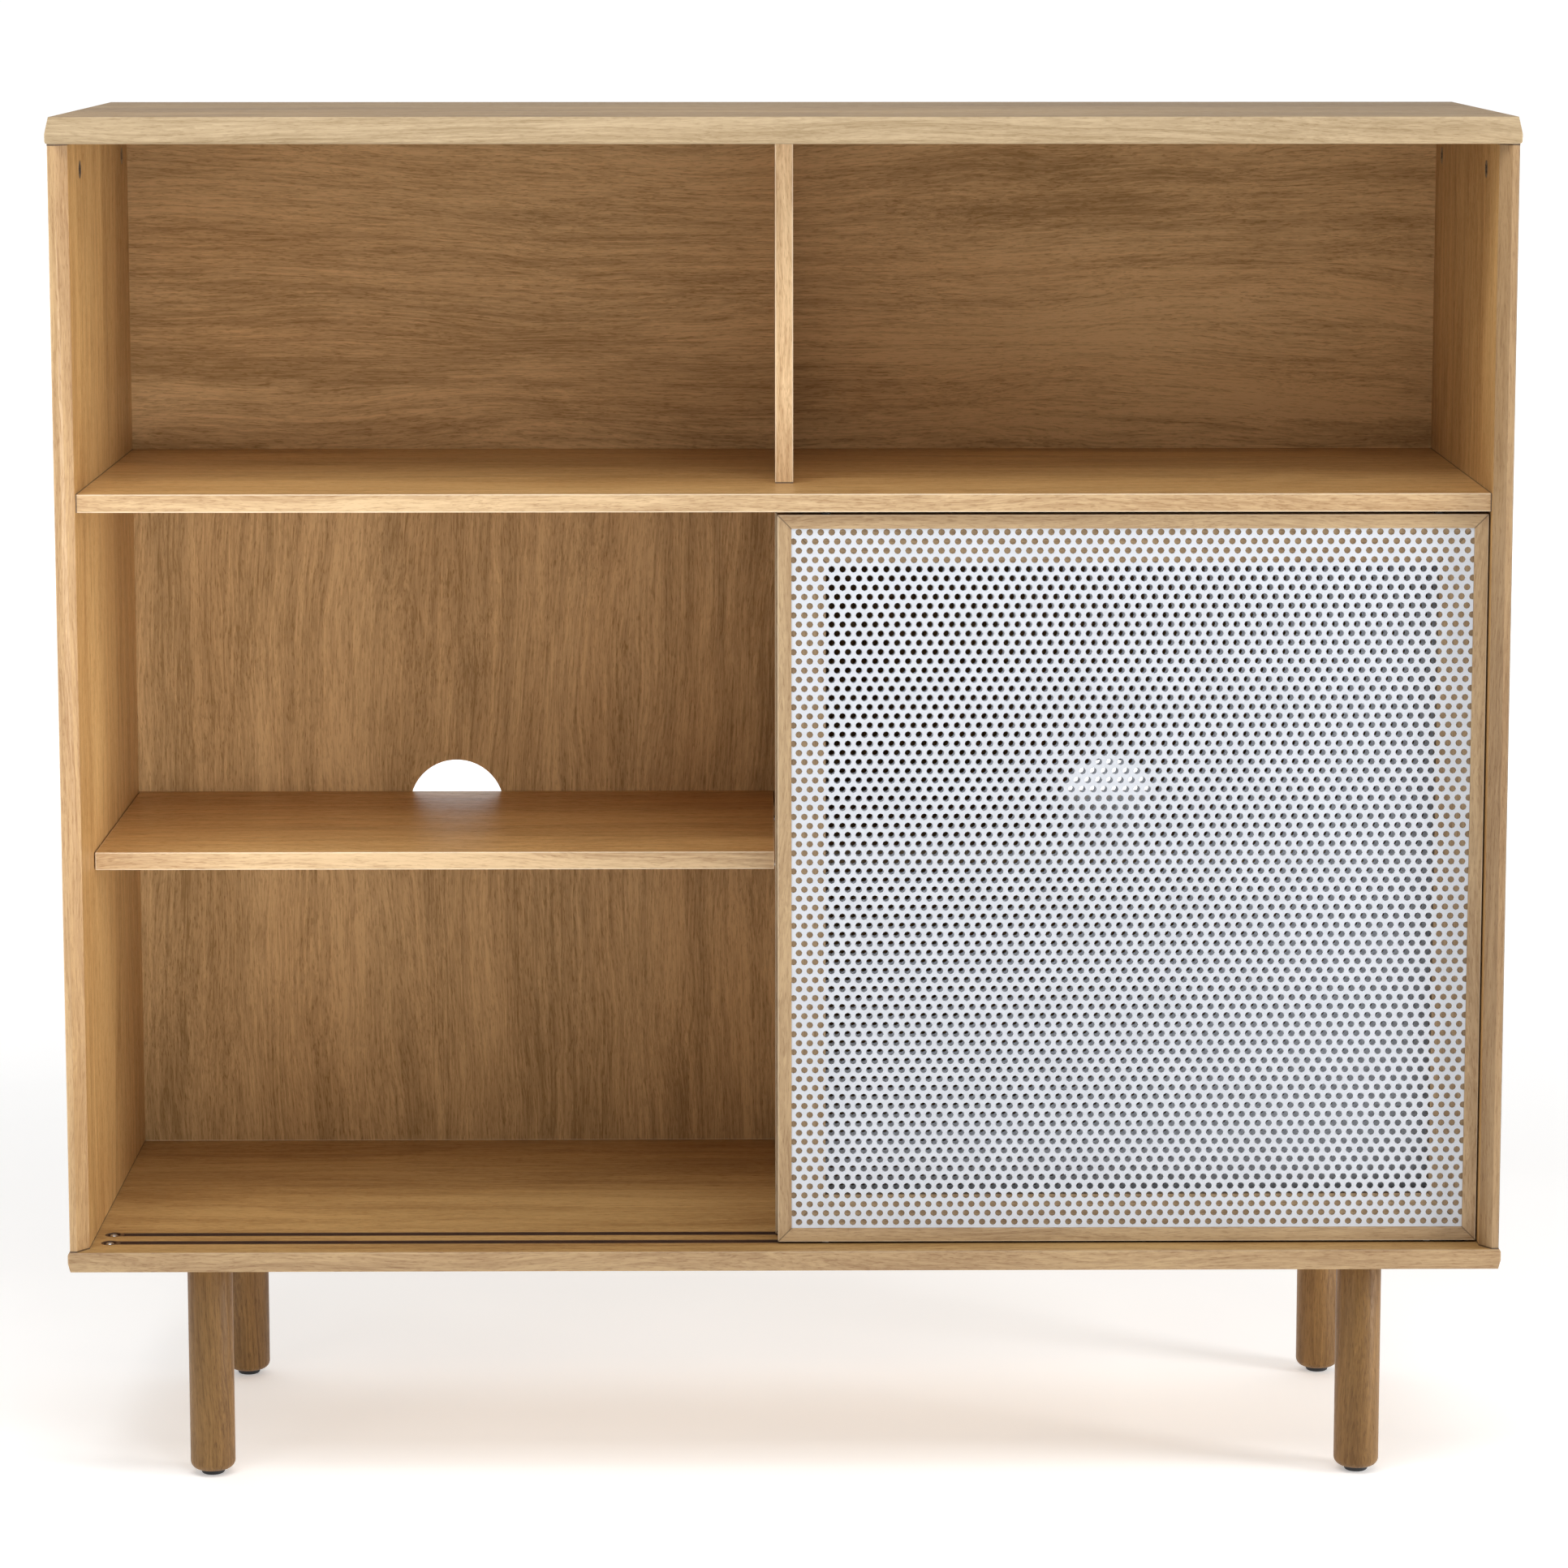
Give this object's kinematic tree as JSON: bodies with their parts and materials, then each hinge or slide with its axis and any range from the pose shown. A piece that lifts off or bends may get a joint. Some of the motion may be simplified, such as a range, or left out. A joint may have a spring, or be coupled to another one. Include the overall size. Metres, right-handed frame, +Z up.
{
  "type": "media cabinet",
  "caption": "Oak media cabinet: open upper compartment over a lower one with shelves, closed by sliding doors of perforated white steel in mitred frames, on round wooden legs.",
  "frame": {"origin": "on the floor under the middle of the cabinet's width and depth", "axes": "+X to the right as seen from the front, +Y to the back, +Z up; the doors face -Y"},
  "size_m": [1.2, 0.4, 1.15],
  "materials": {
    "oak_board": "satin",
    "oak_back": "satin",
    "oak_frame": "satin",
    "oak_leg": "satin",
    "beech": "matte",
    "white_steel": "satin",
    "zinc": "satin",
    "dark_plastic": "matte",
    "black_plastic": "satin",
    "white_plastic": "satin"
  },
  "bodies": {
    "carcass": {"top_panel": "oak_board", "bottom_panel": "oak_board", "left_side_panel": "oak_board", "right_side_panel": "oak_board", "fixed_shelf": "oak_board", "upper_divider": "oak_board", "lower_divider": "oak_board", "left_shelf": "oak_board", "right_shelf": "oak_board", "upper_back_panel": "oak_back", "lower_left_back_panel": "oak_back", "lower_right_back_panel": "oak_back", "front_track": "dark_plastic", "rear_track": "dark_plastic", "track_screws": "zinc", "front_guide_channel": "dark_plastic", "rear_guide_channel": "dark_plastic", "shelf_pins": "zinc", "cam_locks": "zinc", "cam_bolts": "zinc", "wood_dowels": "beech", "carcass_screws": "zinc", "back_panel_screws": "zinc", "front_left_leg": "oak_leg", "front_right_leg": "oak_leg", "back_left_leg": "oak_leg", "back_right_leg": "oak_leg", "leg_inserts": "zinc", "leg_bolts": "zinc", "front_left_glide": "black_plastic", "front_right_glide": "black_plastic", "back_left_glide": "black_plastic", "back_right_glide": "black_plastic"},
    "front_door": {"front_door_left_stile": "oak_frame", "front_door_right_stile": "oak_frame", "front_door_top_rail": "oak_frame", "front_door_bottom_rail": "oak_frame", "front_door_perforated_panel": "white_steel", "front_door_mitre_dowels": "beech", "front_door_top_guides": "black_plastic", "front_door_bottom_glides": "white_plastic"},
    "rear_door": {"rear_door_left_stile": "oak_frame", "rear_door_right_stile": "oak_frame", "rear_door_top_rail": "oak_frame", "rear_door_bottom_rail": "oak_frame", "rear_door_perforated_panel": "white_steel", "rear_door_mitre_dowels": "beech", "rear_door_top_guides": "black_plastic", "rear_door_bottom_glides": "white_plastic"}
  },
  "joints": [
    {"name": "front_door_slide", "type": "slide", "parent": "carcass", "child": "front_door", "axis": [1, 0, 0], "range_m": [-0.5758, 0]},
    {"name": "rear_door_slide", "type": "slide", "parent": "carcass", "child": "rear_door", "axis": [1, 0, 0], "range_m": [-0.5738, 0.002]}
  ]
}
